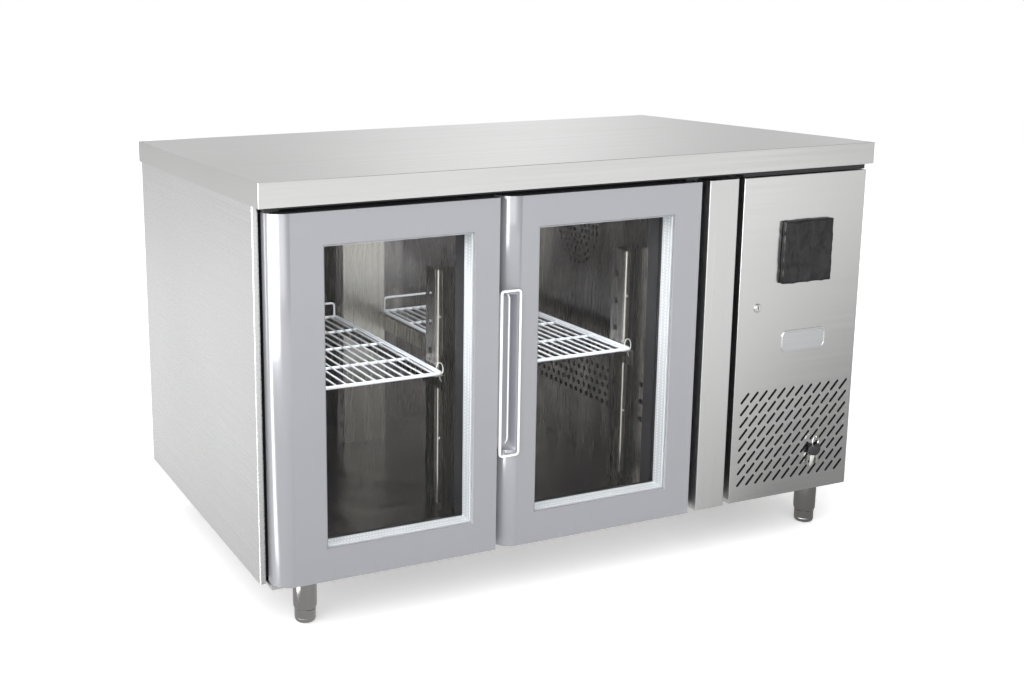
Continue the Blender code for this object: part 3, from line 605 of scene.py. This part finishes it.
def make_door(side):
    body = f"{side}_door"
    x, y, z = node_mm(f"{side}_door_frame")
    front = y[0]
    pane_x, _, pane_z = node_mm(f"{side}_door_outer_pane")
    window, window_z = grow(pane_x, -PANE_OVERLAP), grow(pane_z, -PANE_OVERLAP)
    bm = block(x, y, z)
    low = mm(x[0], front, 0)
    nose = [e for e in bm.edges if all((v.co - low).xy.length < 2e-6 for v in e.verts)]
    bmesh.ops.bevel(bm, geom=nose, offset=NOSE * MM, segments=28, profile=0.5, affect="EDGES")
    cutters = [window_cutter(window, window_z, front, 60.0)]
    if side == "right":
        cutters.append(as_mesh(block((x[0] - 10, x[0] + 32), (-5, front + 28), grow(PULL_Z, -10))))
    else:
        cutters.append(as_mesh(block((x[1] - 18, x[1] + 5), (front + 14, front + 34), PULL_Z)))
    hinge_x = x[0] + 12 if side == "left" else x[1] - 12
    for height in z:
        cutters.append(as_mesh(lathe([(0, -14), (4.3, -14), (4.3, 14), (0, 14)], (hinge_x, 36, height), 20)))
    shell = minus(as_mesh(bm), *cutters)
    shell = modified(shell, ("BEVEL", {"width": 0.5 * MM, "segments": 2, "limit_method": "ANGLE",
                                       "angle_limit": math.radians(50)}))
    piece(f"{side}_door_shell", shell, "frame", body, [f"{side}_door_frame"], 40.0)

    gx, gy, gz = node_mm(f"{side}_door_glass_spacer")
    wide = 8.0
    profile = [(0, gy[0]), (wide - 1.2, gy[0]), (wide, gy[0] + 1.2), (wide, gy[1] - 1.2), (wide - 1.2, gy[1]),
               (0, gy[1])]
    rows = [mm(0, gy[0] + (gy[1] - gy[0]) * share, 0).y for share in (0.3, 0.7)]
    look = dotted_spacer(rows, 6.5 * MM, 1.5 * MM)
    piece(f"{side}_door_spacer_bar", frame_sweep(profile, gx, gz), look, body,
          [f"{side}_door_glass_spacer"])

    ix, iy, iz = node_mm(f"{side}_door_inner_frame")
    opening = as_mesh(block(grow(window, 2), (iy[0] - 5, iy[1] + 5), grow(window_z, 2)))
    liner = as_mesh(block(ix, iy, iz, 1.2, 3))
    piece(f"{side}_door_liner", minus(liner, opening), "black", body,
          [f"{side}_door_inner_frame"])

    sx, sy, sz = node_mm(f"{side}_door_gasket")
    a, b = sy
    profile = [(1, a), (1, a + 1.4), (3.2, a + 2.2), (1.4, a + 3.4), (2.4, b - 1.4), (4.5, b),
               (14.0, b), (16.6, b - 1.2), (17.4, a + 3.6), (15.0, a + 2.4), (17.0, a + 1.2), (17.0, a)]
    piece(f"{side}_door_gasket_bellows", frame_sweep(profile, sx, sz), "rubber", body,
          [f"{side}_door_gasket"])
    for pane in ("outer", "inner"):
        glass = NODES[f"{side}_door_{pane}_pane"]
        glass.visible_shadow = False


def polar(centre, radius, degrees):
    a = math.radians(degrees)
    return centre[0] + radius * math.cos(a), centre[1] + radius * math.sin(a)


def make_pull():
    """A white loop in front of the rounded edge, the grey cup behind it, and a white rib in the cup that is a
    painted highlight.
    """
    x, y, z = node_mm("right_door_pull_rim")
    half, corner, thick = 2.4, 7.0, 5.2
    knee = x[0] + 15.0
    rise = grow(z, -half)
    stops = (x[0] + half, knee, x[1] - half)
    lower = [(stop, 0, rise[0]) for stop in stops]
    upper = [(stop, 0, rise[1]) for stop in reversed(stops)]
    path = bent(lower + upper, corner, 6, closed=True)
    dense = []
    for first, second in zip(path, path[1:] + path[:1]):
        a, b = Vector(first), Vector(second)
        parts = max(1, int((b - a).length / 5.0))
        dense.extend(a.lerp(b, i / parts) for i in range(parts))
    bm = bmesh.new()
    sides, rings = 12, []
    for i, point in enumerate(dense):
        direction = (dense[(i + 1) % len(dense)] - dense[i - 1]).normalized()
        across = Vector((direction.z, 0, -direction.x))
        ring = []
        for k in range(sides):
            a = 2 * math.pi * k / sides
            square = 0.92 / max(abs(math.cos(a)), abs(math.sin(a))) ** 0.45
            s = point + across * (half * math.cos(a) * square)
            lift = ((s.x - knee) / (x[1] - knee)) if s.x > knee else 2.0 * ((s.x - knee) / (x[0] - knee)) ** 2
            middle = y[0] + 0.2 + thick / 2 + lift
            ring.append(bm.verts.new(mm(s.x, middle + thick / 2 * math.sin(a) * square, s.z)))
        rings.append(ring)
    for first, second in zip(rings, rings[1:] + rings[:1]):
        for k in range(sides):
            m = (k + 1) % sides
            bm.faces.new((first[k], first[m], second[m], second[k]))
    piece("right_door_pull_loop", bm, "rim", "right_door", ["right_door_pull_rim"], 60.0)

    left, front = node_mm("right_door_frame")[0][0], node_mm("right_door_frame")[1][0]
    centre = (left + NOSE, front + NOSE)
    mouth = [(38.0, 194.6), (37.4, 196.0), (33.0, 200.5), (27.0, 208.0), (22.5, 219.0),
             (21.4, 231.0), (23.0, 243.0), (28.5, 252.5), (36.8, 259.5), (38.0, 260.6)]
    low, high = PULL_Z[0] + 10.3, PULL_Z[1] - 10.3
    levels = [low, low + 0.8, low + 3, low + 7, low + 13, low + 22]
    levels += [low + 40 + (high - low - 60) * i / 8 for i in range(9)]
    levels += [high - 8, high - 4, high - 1.5, high]
    bm = bmesh.new()
    rows = []
    for height in levels:
        from_end = min((height - low) / 22, (high - height) / 8, 1.0)
        share = math.sqrt(max(0.0, 1 - (1 - from_end) ** 2))
        row = []
        for radius, degrees in mouth:
            px, py = polar(centre, NOSE - (NOSE - radius) * share, degrees)
            row.append(bm.verts.new(mm(px, py, height)))
        rows.append(row)
    for first, second in zip(rows, rows[1:]):
        for k in range(len(mouth) - 1):
            bm.faces.new((first[k], first[k + 1], second[k + 1], second[k]))
    cup = modified(as_mesh(bm), ("SUBSURF", {"levels": 2, "render_levels": 2}),
                   ("SOLIDIFY", {"thickness": 0.8 * MM, "offset": 0.0}))
    piece("right_door_pull_cup", cup, "cup", "right_door", (), 60.0)
    # a thin white rib down the cup: a painted highlight on the cup's inner edge
    highlight_x, highlight_y = left + 13.5, front + 1.5
    line = [(highlight_x, highlight_y + 6, PULL_Z[1] - 11), (highlight_x, highlight_y, PULL_Z[1] - 16),
            (highlight_x, highlight_y, PULL_Z[0] + 34), (highlight_x, highlight_y + 8, PULL_Z[0] + 24)]
    piece("right_door_pull_highlight_rib", tube(bent(line, 6.0), 1.5, 10), "rim", "right_door")


# ---------------------------------------------------------------- shelves

def make_shelf(side):
    x, y, z = node_mm(f"{side}_shelf")
    base = z[0] + 0.1
    parts = []
    edge, thin, thick = 3.6, 2.0, 3.0
    inset = (x[0] + edge, x[1] - edge), (y[0] + edge, y[1] - edge)
    corners = [(inset[0][0], inset[1][0], base + edge), (inset[0][1], inset[1][0], base + edge),
               (inset[0][1], inset[1][1], base + edge), (inset[0][0], inset[1][1], base + edge)]
    parts.append(tube(bent(corners, 9.0, 6, closed=True), edge, 12, closed=True))
    count = 16
    step = (x[1] - x[0]) / count
    for i in range(1, count):
        wire_x = x[0] + step * i
        front, rear = y[0] + 2.2, y[1] - 2.2
        line = [(wire_x, front, base + 3.4), (wire_x, front + 5, base + 4.6), (wire_x, rear - 5, base + 4.6),
                (wire_x, rear, base + 3.4)]
        parts.append(tube(line, thin, 8))
    for wire_x in (x[0] + 9.5, x[1] - 9.5):
        parts.append(tube([(wire_x, y[0] + 4, base + 3.6), (wire_x, y[1] - 4, base + 3.6)], 2.0, 8))
    cross = 4
    for i in range(1, cross):
        wire_y = y[0] + (y[1] - y[0]) * i / cross
        parts.append(tube([(x[0] + 3, wire_y, base + 2.4), (x[1] - 3, wire_y, base + 2.4)], thick, 10))
    back = y[1] - 3.0
    ends, foot, crest = (x[0] + 8, x[1] - 8), base + 3, base + 36
    stop = [(ends[0], back, foot), (ends[0], back, crest), (ends[1], back, crest), (ends[1], back, foot)]
    parts.append(tube(bent(stop, 9.0, 6), 2.6, 10))
    piece(f"{side}_shelf_wires", merged(*parts), "wire", f"{side}_shelf",
          [f"{side}_shelf"], 50.0)

    tie_x, tie_y, tie_z = x[1] - 4.5, y[0] + 9.0, base + 3.0
    loop = [(tie_x + 7.5 * math.cos(a), tie_y + 1.5 * math.sin(a), tie_z + 8 + 12.0 * math.sin(a))
            for a in (2 * math.pi * i / 28 for i in range(28))]
    tail = [(tie_x + 1, tie_y - 1, tie_z - 3), (tie_x - 1, tie_y - 2, tie_z - 10),
            (tie_x + 3, tie_y - 3, tie_z - 17)]
    head = block((tie_x - 2.6, tie_x + 2.6), (tie_y - 3.4, tie_y + 1.4), (tie_z - 7, tie_z - 3), 0.6, 2)
    band, end = tube(loop, 1.1, 8, closed=True, flat=0.6), tube(tail, 1.0, 8, flat=0.6)
    piece(f"{side}_shelf_tie", merged(band, end, head),
          "tie", f"{side}_shelf", (), 50.0)


# ---------------------------------------------------------------- service panel

VENT_X, VENT_Z = (1070.0, 1332.0), (146.0, 328.0)
VENT_COLUMNS, VENT_ROWS = 12, 8
SLANT, VENT_HALF = Vector((8.2, 8.7)), 2.9


def capsule(x, z, y, ends=6):
    """A cutter for one slanted vent slot with round ends."""
    direction = SLANT.normalized()
    bm = bmesh.new()
    outline = []
    for sign in (1, -1):
        for i in range(ends + 1):
            a = math.pi * i / ends - math.pi / 2
            along = direction * math.cos(a) + Vector((-direction.y, direction.x)) * math.sin(a)
            outline.append(SLANT * sign + along * VENT_HALF * sign)
    rings = [[bm.verts.new(mm(x + p.x, y + d, z + p.y)) for p in outline] for d in (-6, 6)]
    for i in range(len(outline)):
        j = (i + 1) % len(outline)
        bm.faces.new((rings[0][i], rings[0][j], rings[1][j], rings[1][i]))
    for ring in rings:
        bm.faces.new(ring)
    return bm


def make_service_panel():
    x, y, z = node_mm("service_panel")
    shell = as_mesh(block(x, y, z, 1.6, 4, open_face=(0, 1, 0)))
    panel = modified(shell, ("SOLIDIFY", {"thickness": SHEET * MM, "offset": -1.0, "use_even_offset": True}))
    slots = [capsule(VENT_X[0] + (VENT_X[1] - VENT_X[0]) * c / (VENT_COLUMNS - 1),
                     VENT_Z[0] + (VENT_Z[1] - VENT_Z[0]) * r / (VENT_ROWS - 1), y[0])
             for c in range(VENT_COLUMNS) for r in range(VENT_ROWS)]
    dx, dy, dz = node_mm("display_housing")
    lx, ly, lz = node_mm("lock_cylinder")
    lock = ((lx[0] + lx[1]) / 2, lz[1] - 9.0)
    panel = minus(panel, as_mesh(merged(*slots)),
                  as_mesh(block(grow(dx, -12), (y[0] - 5, y[0] + 5), grow(dz, -12))),
                  as_mesh(lathe([(0, -6), (9.4, -6), (9.4, 6), (0, 6)], (lock[0], y[0], lock[1]), 32, "Y")))
    piece("service_panel_sheet", panel, "front", "service_panel", ["service_panel"])
    # a black sheet behind the vent slots: painted shade, so the slots look dark inside
    shade_sheet = block(grow(VENT_X, 18), (y[0] + 5, y[0] + 8), grow(VENT_Z, 16), 0.6, 1)
    piece("vent_shade_sheet", shade_sheet, "black", "service_panel")

    make_display(dx, dy, dz)
    barrel = [(0, 3.6), (6.4, 3.6), (7.0, 3.2), (7.2, 2.4), (8.8, 2.0), (9.0, 1.2), (9.0, -18), (0, -18)]
    depth = y[0] - ly[0]
    keyway = as_mesh(block((lock[0] - 0.9, lock[0] + 0.9), (ly[0] - 5, ly[0] + 6),
                           (lock[1] - 4.4, lock[1] + 4.4)))
    cylinder = minus(as_mesh(lathe(barrel, (lock[0], y[0] - depth + 3.6, lock[1]), 40, "Y")), keyway)
    piece("lock_barrel", cylinder, "bright", "service_lock", ["lock_cylinder"])
    cam = block((lock[0] - 4, lock[0] + 4), (y[0] + 15, y[0] + 18), (lz[0], lock[1]), 0.8, 2)
    piece("lock_cam_plate", cam, "bright", "service_lock")

    plate_x, plate_z = (1157.0, 1272.0), (417.0, 463.0)
    outline = []
    corner = 12.0
    centre_x, centre_z = grow(plate_x, -corner), grow(plate_z, -corner)
    for cx, cz, start in ((centre_x[1], centre_z[1], 0), (centre_x[0], centre_z[1], 90),
                          (centre_x[0], centre_z[0], 180), (centre_x[1], centre_z[0], 270)):
        outline += [(cx + corner * math.cos(math.radians(start + 90 * i / 8)),
                     cz + corner * math.sin(math.radians(start + 90 * i / 8))) for i in range(9)]
    middle = Vector((sum(plate_x) / 2, sum(plate_z) / 2))
    bm = bmesh.new()
    rows = []
    for inset, out in ((0, 0.1), (0, 1.6), (0.5, 2.1), (3.2, 2.1), (4.0, 1.4)):
        row = []
        for px, pz in outline:
            v = Vector((px, pz)) - middle
            half_x, half_z = (plate_x[1] - plate_x[0]) / 2, (plate_z[1] - plate_z[0]) / 2
            row.append(bm.verts.new(mm(middle.x + v.x * (half_x - inset) / half_x, y[0] - out,
                                       middle.y + v.y * (half_z - inset) / half_z)))
        rows.append(row)
    for first, second in zip(rows, rows[1:]):
        for k in range(len(outline)):
            m = (k + 1) % len(outline)
            bm.faces.new((first[k], first[m], second[m], second[k]))
    bm.faces.new(rows[0])
    bm.faces.new(rows[-1])
    piece("blank_name_plate", bm, "plate", "service_panel")


def make_display(x, y, z):
    """The controller in its wrap of creased black film."""
    bm = block(x, (y[0] + 1.6, 13.7), z, 3.0, 3)
    long_edges = [e for e in bm.edges if e.calc_length() > 20 * MM]
    bmesh.ops.subdivide_edges(bm, edges=long_edges, cuts=22, use_grid_fill=True)
    bmesh.ops.triangulate(bm, faces=[f for f in bm.faces if len(f.verts) > 4])
    bm.normal_update()
    for v in bm.verts:
        p = v.co * 26
        ridge = 1 - abs(noise.noise(Vector((p.x + 0.7 * p.z, 3.0, p.z * 1.7))))
        small = noise.noise(Vector((v.co.x * 70, 9.0, v.co.z * 70)))
        push = (ridge ** 3 - 0.45) * 1.5 + small * 0.4
        if v.co.y < mm(0, 12.5, 0).y:
            v.co += v.normal * min(1.4, max(-0.8, push)) * MM
    wrap = as_mesh(bm)
    piece("display_film", wrap, "film", "service_panel", ["display_housing"], 180.0)
    body = block(grow(x, -12.5), (12.0, 48.0), grow(z, -12.5), 1.5, 3)
    piece("display_case", body, "black", "service_panel")


def make_keys():
    """Two keys on a ring that hangs on a hook in a vent slot."""
    slot_x = VENT_X[0] + (VENT_X[1] - VENT_X[0]) * 8 / (VENT_COLUMNS - 1)
    slot_z = VENT_Z[0] + (VENT_Z[1] - VENT_Z[0]) * 3 / (VENT_ROWS - 1)
    radius, turn = 13.0, math.radians(20)
    x, y, z = slot_x, 7.5, slot_z - 1.5 - radius
    top = z + radius
    hoop = []
    for i in range(48):
        a = 2 * math.pi * i / 48
        across = radius * math.cos(a)
        hoop.append((x + across * math.cos(turn), y + across * math.sin(turn), z + radius * math.sin(a)))
    hook = [(x, y - 2, top - 3.5), (x, y - 1, top - 0.5), (x, y + 2, top), (x, 18.5, top), (x, 20, top - 1),
            (x, 20, top - 3)]
    metal = [tube(hoop, 1.2, 10, closed=True), tube(bent(hook, 2.0), 1.0, 10)]
    heads = []
    for shift in (-1, 1):
        hang = Vector((x + 5 * shift, y - 0.4 + 2.2 * shift, z - radius + 4))
        lean = Matrix.Rotation(math.radians(-8 * shift), 4, "Y")
        tilt = lean @ Matrix.Rotation(math.radians(14 * shift), 4, "Z")
        to_place = Matrix.Translation(mm(*hang)) @ tilt @ Matrix.Scale(MM, 4)
        grip = [(-6, 2), (6, 2), (12, -4), (12.5, -16), (7, -20.5), (-7, -20.5), (-12.5, -16), (-12, -4)]
        heads.append(key_outline(grip, 3.2, 1.0, to_place))
        notches = [(-4.5, -20), (4.5, -20), (4.5, -26), (3.2, -28), (4.5, -30), (2.8, -32.5), (4.3, -35),
                   (2.8, -38), (4.2, -41), (2.0, -45.5), (-2.0, -46), (-4.5, -43)]
        metal.append(key_outline(notches, 1.8, 0.3, to_place))
    piece("key_ring_and_blades", merged(*metal), "key", "keys", ["key_ring"], 40.0)
    piece("key_heads", merged(*heads), "black", "keys", (), 40.0)


def key_outline(points, thick, bevel, matrix):
    bm = bmesh.new()
    rings = [[bm.verts.new((a, d, b)) for a, b in points] for d in (-thick / 2, thick / 2)]
    for i in range(len(points)):
        j = (i + 1) % len(points)
        bm.faces.new((rings[0][i], rings[0][j], rings[1][j], rings[1][i]))
    for ring in rings:
        bm.faces.new(ring)
    bmesh.ops.bevel(bm, geom=list(bm.edges), offset=bevel, segments=2, profile=0.5, affect="EDGES",
                    clamp_overlap=True)
    bmesh.ops.transform(bm, matrix=matrix, verts=bm.verts)
    return bm


# ---------------------------------------------------------------- what stays from the frame

KEPT = {
    "inner": ["insulated_base", "insulated_ceiling", "left_wall", "partition_wall", "rear_wall",
              "centre_mullion"],
    "rack": ["upright_left_front", "upright_left_rear", "upright_centre_front", "upright_centre_rear",
             "upright_right_front", "upright_right_rear", "left_shelf_left_runner", "left_shelf_right_runner",
             "right_shelf_left_runner", "right_shelf_right_runner"],
    "dull": ["back_panel"],
    "black": ["breaker_frame", "cable_gland", "left_door_upper_hinge", "right_door_upper_hinge"],
    "bright": ["left_door_lower_hinge", "right_door_lower_hinge"],
    "glass": ["left_door_outer_pane", "left_door_inner_pane",
              "right_door_outer_pane", "right_door_inner_pane"],
    "fins": ["evaporator_coil", "condenser"],
    "fan": ["evaporator_fan", "condenser_fan"],
    "shell": ["compressor"],
}


def dress_kept():
    for look, names in KEPT.items():
        for name in names:
            mesh = NODES[name].data
            mesh.materials.clear()
            mesh.materials.append(M[look])


# ---------------------------------------------------------------- studio

SENSOR_WIDTH, LENS = 36.0, 45.598         # millimetres
SHIFT_X, SHIFT_Y = 0.18945, -0.06494      # shares of the picture's width
AIM_YAW, AIM_PITCH, AIM_ROLL = 22.03, 11.67, -0.81
CAMERA_PLACE = (-1.405, -2.458, 1.140)


def make_camera():
    yaw, pitch, roll = (math.radians(a) for a in (AIM_YAW, AIM_PITCH, AIM_ROLL))
    forward = Vector((math.sin(yaw) * math.cos(pitch), math.cos(yaw) * math.cos(pitch), -math.sin(pitch)))
    right = Vector((math.cos(yaw), -math.sin(yaw), 0))
    up = right.cross(forward)
    across = right * math.cos(roll) + up * math.sin(roll)
    upward = up * math.cos(roll) - right * math.sin(roll)
    data = bpy.data.cameras.new("camera")
    data.sensor_width = SENSOR_WIDTH
    data.lens = LENS
    data.shift_x, data.shift_y = SHIFT_X, SHIFT_Y
    data.clip_end = 100.0
    camera = bpy.data.objects.new("camera", data)
    bpy.context.scene.collection.objects.link(camera)
    turn = Matrix((across, upward, -forward)).transposed().to_4x4()
    camera.matrix_world = Matrix.Translation(CAMERA_PLACE) @ turn
    bpy.context.scene.camera = camera


def fill_ramp(ramp, stops):
    """Grey stops (position, value) for a colour ramp."""
    first, last = ramp.elements[0], ramp.elements[1]
    first.position, last.position = stops[0][0], stops[-1][0]
    first.color, last.color = ((value, value, value, 1) for value in (stops[0][1], stops[-1][1]))
    for position, value in stops[1:-1]:
        ramp.elements.new(position).color = (value, value, value, 1)


def area_light(name, place, target, size, power):
    data = bpy.data.lights.new(name, "AREA")
    data.shape = "RECTANGLE"
    data.size, data.size_y = size
    data.energy = power
    lamp = bpy.data.objects.new(name, data)
    lamp.location = place
    lamp.visible_glossy = False
    lamp.rotation_euler = (Vector(target) - Vector(place)).to_track_quat("-Z", "Y").to_euler()
    bpy.context.scene.collection.objects.link(lamp)


# Brightness of the room by compass bearing: 0 is behind the cabinet, 90 its right, -90 its left.
ROOM = ((-180, 1.3), (-165, 2.8), (-140, 2.8), (-112, 2.1), (-80, 1.0), (-5, 0.74), (18, 0.68),
        (31, 0.98), (41, 0.66), (52, 0.84), (90, 0.70), (130, 0.45), (162, 0.46), (172, 0.6), (180, 1.3))
# and, below the horizon, by how steeply a reflection looks down.
DOWNWARD = ((0.0, 0.62), (0.10, 0.68), (0.22, 1.02), (0.32, 0.92), (0.45, 0.70), (1.0, 0.6))


CARD_GLOW = 7.0


def make_room():
    world = bpy.data.worlds.new("studio")
    world.use_nodes = True
    nodes, links = world.node_tree.nodes, world.node_tree.links
    point = nodes.new("ShaderNodeSeparateXYZ")
    links.new(nodes.new("ShaderNodeTexCoord").outputs["Generated"], point.inputs["Vector"])
    bearing = nodes.new("ShaderNodeMath")
    bearing.operation = "ARCTAN2"
    links.new(point.outputs["X"], bearing.inputs[0])
    links.new(point.outputs["Y"], bearing.inputs[1])
    turn = nodes.new("ShaderNodeMapRange")
    turn.inputs["From Min"].default_value = -math.pi
    turn.inputs["From Max"].default_value = math.pi
    links.new(bearing.outputs[0], turn.inputs["Value"])
    ramp = nodes.new("ShaderNodeValToRGB")
    ramp.color_ramp.interpolation = "EASE"
    brightest = 3.0
    fill_ramp(ramp.color_ramp, [((degrees + 180) / 360, value / brightest) for degrees, value in ROOM])
    links.new(turn.outputs["Result"], ramp.inputs["Fac"])
    below = nodes.new("ShaderNodeMath")
    below.operation = "MULTIPLY"
    below.inputs[1].default_value = -1.0
    links.new(point.outputs["Z"], below.inputs[0])
    fall = nodes.new("ShaderNodeValToRGB")
    fill_ramp(fall.color_ramp, [(depth, value / brightest) for depth, value in DOWNWARD])
    links.new(below.outputs[0], fall.inputs["Fac"])
    under = nodes.new("ShaderNodeMath")
    under.operation = "GREATER_THAN"
    under.inputs[1].default_value = 0.0
    links.new(below.outputs[0], under.inputs[0])
    choice = nodes.new("ShaderNodeMix")
    links.new(under.outputs[0], choice.inputs["Factor"])
    links.new(ramp.outputs["Color"], choice.inputs["A"])
    links.new(fall.outputs["Color"], choice.inputs["B"])
    scale = nodes.new("ShaderNodeMath")
    scale.operation = "MULTIPLY"
    scale.inputs[1].default_value = brightest
    links.new(choice.outputs["Result"], scale.inputs[0])
    strength = nodes.new("ShaderNodeMix")
    links.new(nodes.new("ShaderNodeLightPath").outputs["Is Camera Ray"], strength.inputs["Factor"])
    links.new(scale.outputs[0], strength.inputs["A"])
    strength.inputs["B"].default_value = 1.0
    links.new(strength.outputs["Result"], nodes["Background"].inputs["Strength"])
    nodes["Background"].inputs["Color"].default_value = (1, 1, 1, 1)
    bpy.context.scene.world = world


def make_floor():
    bm = bmesh.new()
    bmesh.ops.create_circle(bm, cap_ends=True, radius=9.0, segments=64)
    mesh = as_mesh(bm, "floor")
    look = Look("floor_paper", (0.93, 0.93, 0.93), 0.85, 0.0, emission_color=(1, 1, 1, 1),
                emission_strength=0.32)
    look.tint(look.noise((3, 3, 3), 2.0), 0.99, 1.01)
    mesh.materials.append(look.material)
    floor = bpy.data.objects.new("floor", mesh)
    floor.location.z = CAD_LOW.z - 0.0002
    floor.visible_glossy = False
    bpy.context.scene.collection.objects.link(floor)


def make_front_card():
    """A glowing card on the floor that only reflections see: a painted reflection of the floor, darker near
    the cabinet and to the right as painted shade.
    """
    near, far, half = CAD_LOW.y - 0.02, -9.0, 9.0
    under, left = 1.0, CAD_LOW.x - 0.05
    bm = bmesh.new()
    for x, y in (((-half, half), (far, near)), ((left, half), (near, under))):
        bm.faces.new([bm.verts.new((a, b, CAD_LOW.z + 0.0003)) for a, b in
                      ((x[0], y[0]), (x[1], y[0]), (x[1], y[1]), (x[0], y[1]))])
    mesh = as_mesh(bm, "front_card")
    look = Look("glowing_floor_reflection_card", (0.5, 0.5, 0.5), 0.9)
    point = look.node("ShaderNodeSeparateXYZ", {"Vector": look.where()})
    away = look.math("MAXIMUM", look.math("SUBTRACT", near, point.outputs["Y"]), 0.0)
    shade = look.node("ShaderNodeValToRGB", {"Fac": look.math("DIVIDE", away, 8.0)})
    stops = ((0.0, 0.36), (0.025, 0.41), (0.06, 0.47), (0.14, 0.60),
             (0.20, 0.68), (0.29, 0.74), (0.6, 0.90), (1.0, 0.98))
    fill_ramp(shade.color_ramp, stops)
    bearing = look.math("DIVIDE", point.outputs["X"], look.math("ADD", away, 0.35))
    side = look.spread(bearing, 1.0, 0.52, 0.87, 1.25)
    # the glow is a painted floor reflection, with painted shade near the cabinet and to its right
    glow = look.math("MULTIPLY", look.math("MULTIPLY", shade.outputs["Color"], side), 1.5)
    look.tree.links.new(glow, look.shader.inputs["Emission Strength"])
    look.set("Emission Color", (1, 1, 1, 1))
    look.set("Base Color", (0, 0, 0, 1))
    look.set("Specular IOR Level", 0.0)
    mesh.materials.append(look.material)
    card = bpy.data.objects.new("front_card", mesh)
    bpy.context.scene.collection.objects.link(card)
    card.visible_camera = card.visible_diffuse = card.visible_shadow = False


def make_side_card():
    """A tall bright card to the left of the camera, for the streaks on the doors' rounded edges."""
    first, last, reach, below, height = math.radians(-142.0), math.radians(-74.0), 3.4, 2.4, 5.0
    corner = mm(0, 0, 0) - Vector((0, 0, below))
    ends = [corner + Vector((math.sin(a), math.cos(a), 0)) * reach for a in (first, last)]
    bm = bmesh.new()
    rise = Vector((0, 0, height))
    bm.faces.new([bm.verts.new(p) for p in (ends[0], ends[1], ends[1] + rise, ends[0] + rise)])
    mesh = as_mesh(bm, "side_card")
    look = Look("white_card", (0.0, 0.0, 0.0), 0.9, 0.0, specular_ior_level=0.0)
    level = look.node("ShaderNodeSeparateXYZ", {"Vector": look.where()}).outputs["Z"]
    glow = look.spread(level, CARD_GLOW * 0.8, CARD_GLOW, -below, 1.0)
    look.tree.links.new(glow, look.shader.inputs["Emission Strength"])
    look.set("Emission Color", (1, 1, 1, 1))
    mesh.materials.append(look.material)
    card = bpy.data.objects.new("side_card", mesh)
    bpy.context.scene.collection.objects.link(card)
    card.visible_camera = card.visible_diffuse = card.visible_shadow = card.visible_transmission = False


def make_studio():
    make_room()
    make_floor()
    make_front_card()
    make_side_card()
    area_light("key_left", (-3.0, -1.6, 1.5), (-0.3, -0.3, 0.45), (1.5, 2.0), 12)
    for side in ("left", "right"):
        x, y, z = node_mm(f"{side}_shelf")
        middle = (x[0] + x[1]) / 2
        place, target = mm(middle - 40, y[0] + 20, 742), mm(middle, y[0] + 200, z[0])
        area_light(f"{side}_cabinet_lamp", place, target, (0.22, 0.08), 1.6)
    scene = bpy.context.scene
    scene.view_settings.view_transform = "Standard"
    scene.cycles.use_denoising = True


make_camera()
make_studio()
dress_kept()
make_worktop()
make_side_panels()
make_pillar()
make_legs()
make_uprights_trim()
make_evaporator_cover()
make_door("left")
make_door("right")
make_pull()
make_shelf("left")
make_shelf("right")
make_service_panel()
make_keys()
